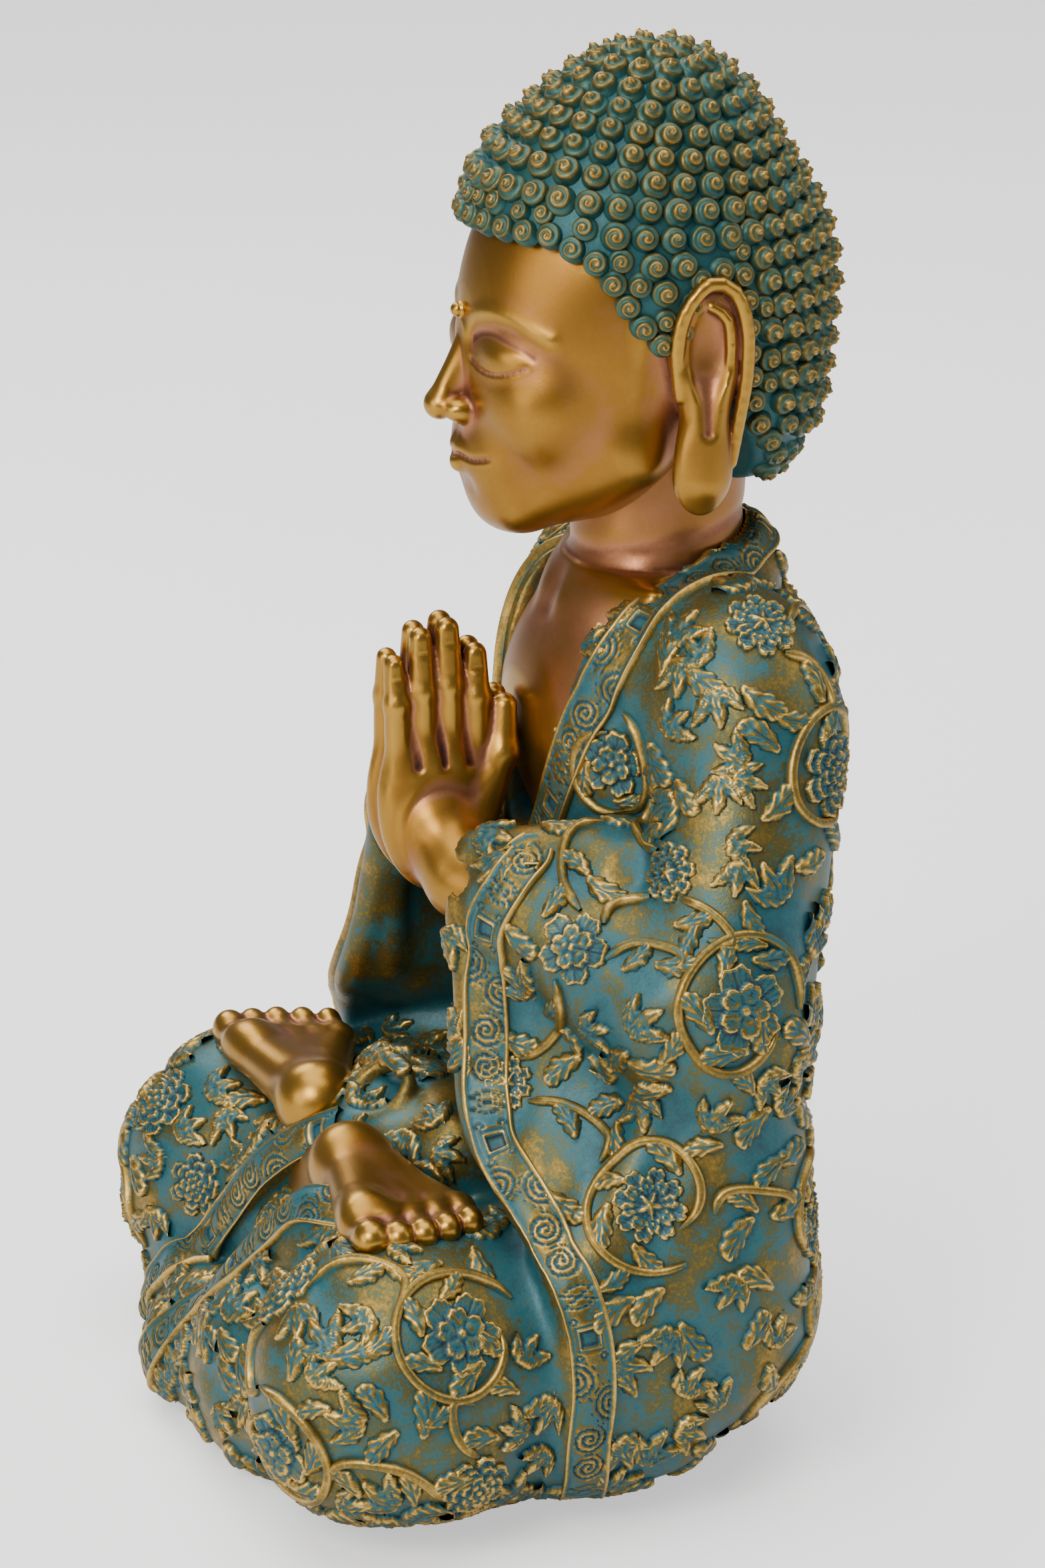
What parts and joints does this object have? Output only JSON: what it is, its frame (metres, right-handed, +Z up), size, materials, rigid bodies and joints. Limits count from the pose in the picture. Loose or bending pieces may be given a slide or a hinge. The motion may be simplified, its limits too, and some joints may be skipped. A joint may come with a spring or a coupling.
{
  "type": "seated buddha statue",
  "caption": "Seated robed figure with legs crossed and palms pressed together, assembled from hollow resin castings on a flat padded base.",
  "frame": {"origin": "centre of the figure's footprint, on the surface it stands on", "axes": "+Z up, the figure faces -Y, its left side is +X"},
  "size_m": [0.2274, 0.194, 0.4],
  "materials": {
    "robe_paint": "satin teal paint with gold dry-brushed on the raised ornament",
    "skin_paint": "antique gold paint with a copper glaze in the hollows",
    "hair_paint": "satin teal paint with gold tips on the curls",
    "urna_paint": "copper paint",
    "pin_wood": "plain beech",
    "plate_board": "matt black",
    "plug_rubber": "matt",
    "felt": "dark felt"
  },
  "bodies": {
    "root": {"robe_shell": "robe_paint", "left_sleeve": "robe_paint", "right_sleeve": "robe_paint", "bust": "skin_paint", "head": "skin_paint", "praying_hands": "skin_paint", "left_foot": "skin_paint", "right_foot": "skin_paint", "hair_cap": "hair_paint", "urna_bead": "urna_paint", "neck_dowel": "pin_wood", "wrist_dowels": "pin_wood", "foot_dowels": "pin_wood", "base_plate": "plate_board", "filler_plug": "plug_rubber", "felt_pads": "felt"}
  },
  "joints": []
}
